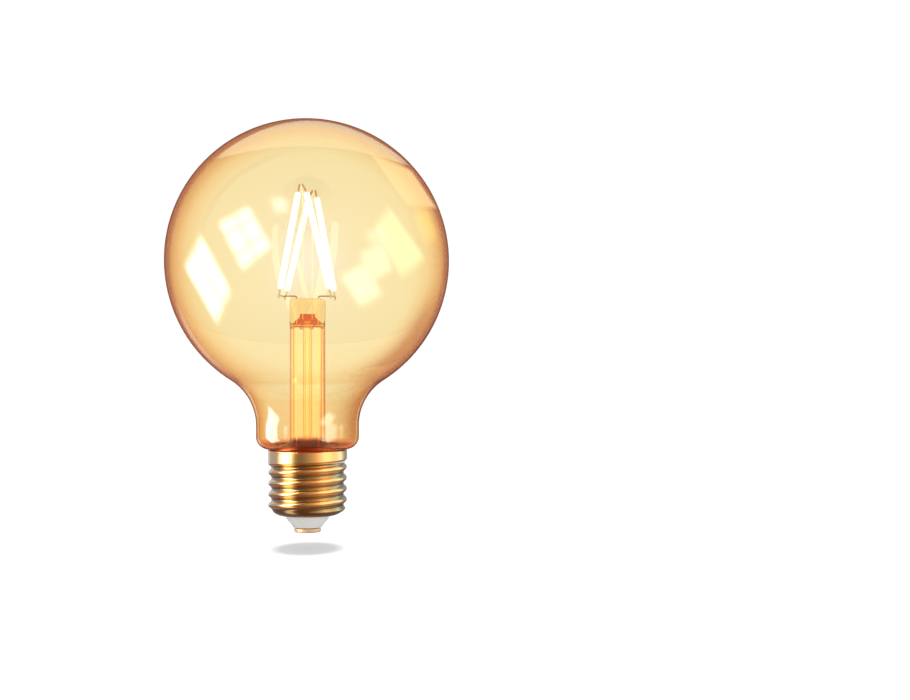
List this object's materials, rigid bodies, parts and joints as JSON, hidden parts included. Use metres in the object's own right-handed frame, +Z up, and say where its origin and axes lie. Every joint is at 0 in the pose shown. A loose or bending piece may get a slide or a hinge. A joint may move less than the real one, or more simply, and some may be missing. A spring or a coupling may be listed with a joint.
{
  "type": "smart light bulb",
  "caption": "Globe-shaped smart filament bulb: amber glass globe with LED filaments on a glass stem, and a gold screw cap that holds the driver and radio.",
  "frame": {"origin": "centre of the centre contact's flat lower face, on the lamp's axis", "axes": "+Z up the lamp's axis from the cap's contact to the crown of the globe, +X along the wide way of the glass pinch, -Y the front"},
  "size_m": [0.095, 0.095, 0.1384],
  "materials": {
    "amber_glass": "clear amber-tinted glass, polished",
    "stem_glass": "clear glass, fire-polished",
    "cap_shell": "bright gold-coloured, rolled thread",
    "contact_brass": "bright brass",
    "insulator_plastic": "white, satin",
    "mount_wire": "nickel-plated wire and strip",
    "filament_coat": "white phosphor-filled silicone, lit",
    "basing_cement": "matt cement",
    "liner_film": "pale insulating film",
    "circuit_board": "green solder mask",
    "black_resin": "moulded black resin",
    "black_sleeve": "shrunk sleeve",
    "ferrite": "matt dark grey ferrite",
    "copper_wire": "enamelled copper windings",
    "resistor_coat": "grey-green cement coating",
    "white_sleeve": "white sleeving",
    "blue_coat": "dipped epoxy",
    "ceramic": "tan ceramic",
    "tinned_metal": "tinned",
    "black_cable": "insulated wire",
    "red_cable": "insulated wire"
  },
  "bodies": {
    "root": {"antenna_wire": "black_cable", "basing_cement": "basing_cement", "bulk_capacitor": "black_sleeve", "bulk_capacitor_lead_a": "tinned_metal", "bulk_capacitor_lead_b": "tinned_metal", "cap_insulator": "insulator_plastic", "centre_contact": "contact_brass", "choke_core": "ferrite", "choke_lead_a": "tinned_metal", "choke_lead_b": "tinned_metal", "choke_winding": "copper_wire", "crossbar_left": "mount_wire", "crossbar_right": "mount_wire", "dimming_transistor": "black_resin", "driver_board": "circuit_board", "exhaust_tube": "stem_glass", "filament_front_left": "filament_coat", "filament_front_left_foot_tab": "mount_wire", "filament_front_left_tip_tab": "mount_wire", "filament_front_right": "filament_coat", "filament_front_right_foot_tab": "mount_wire", "filament_front_right_tip_tab": "mount_wire", "filament_rear_left": "filament_coat", "filament_rear_left_foot_tab": "mount_wire", "filament_rear_left_tip_tab": "mount_wire", "filament_rear_right": "filament_coat", "filament_rear_right_foot_tab": "mount_wire", "filament_rear_right_tip_tab": "mount_wire", "fusible_resistor": "resistor_coat", "fusible_resistor_lead_lower": "tinned_metal", "fusible_resistor_lead_upper": "tinned_metal", "fusible_resistor_sleeve": "white_sleeve", "glass_globe": "amber_glass", "glass_stem": "stem_glass", "insulating_liner": "liner_film", "lead_in_wire_left": "mount_wire", "lead_in_wire_right": "mount_wire", "led_driver_chip": "black_resin", "live_wire": "red_cable", "memory_chip": "black_resin", "neutral_solder_joint": "tinned_metal", "neutral_wire": "white_sleeve", "output_capacitor": "ceramic", "radio_board": "circuit_board", "radio_board_header": "black_resin", "radio_chip": "black_resin", "radio_crystal": "tinned_metal", "rectifier_bridge": "black_resin", "screw_shell": "cap_shell", "sense_resistor_1": "black_resin", "sense_resistor_2": "black_resin", "support_wire_front": "mount_wire", "support_wire_rear": "mount_wire", "surge_varistor": "blue_coat"}
  },
  "joints": []
}
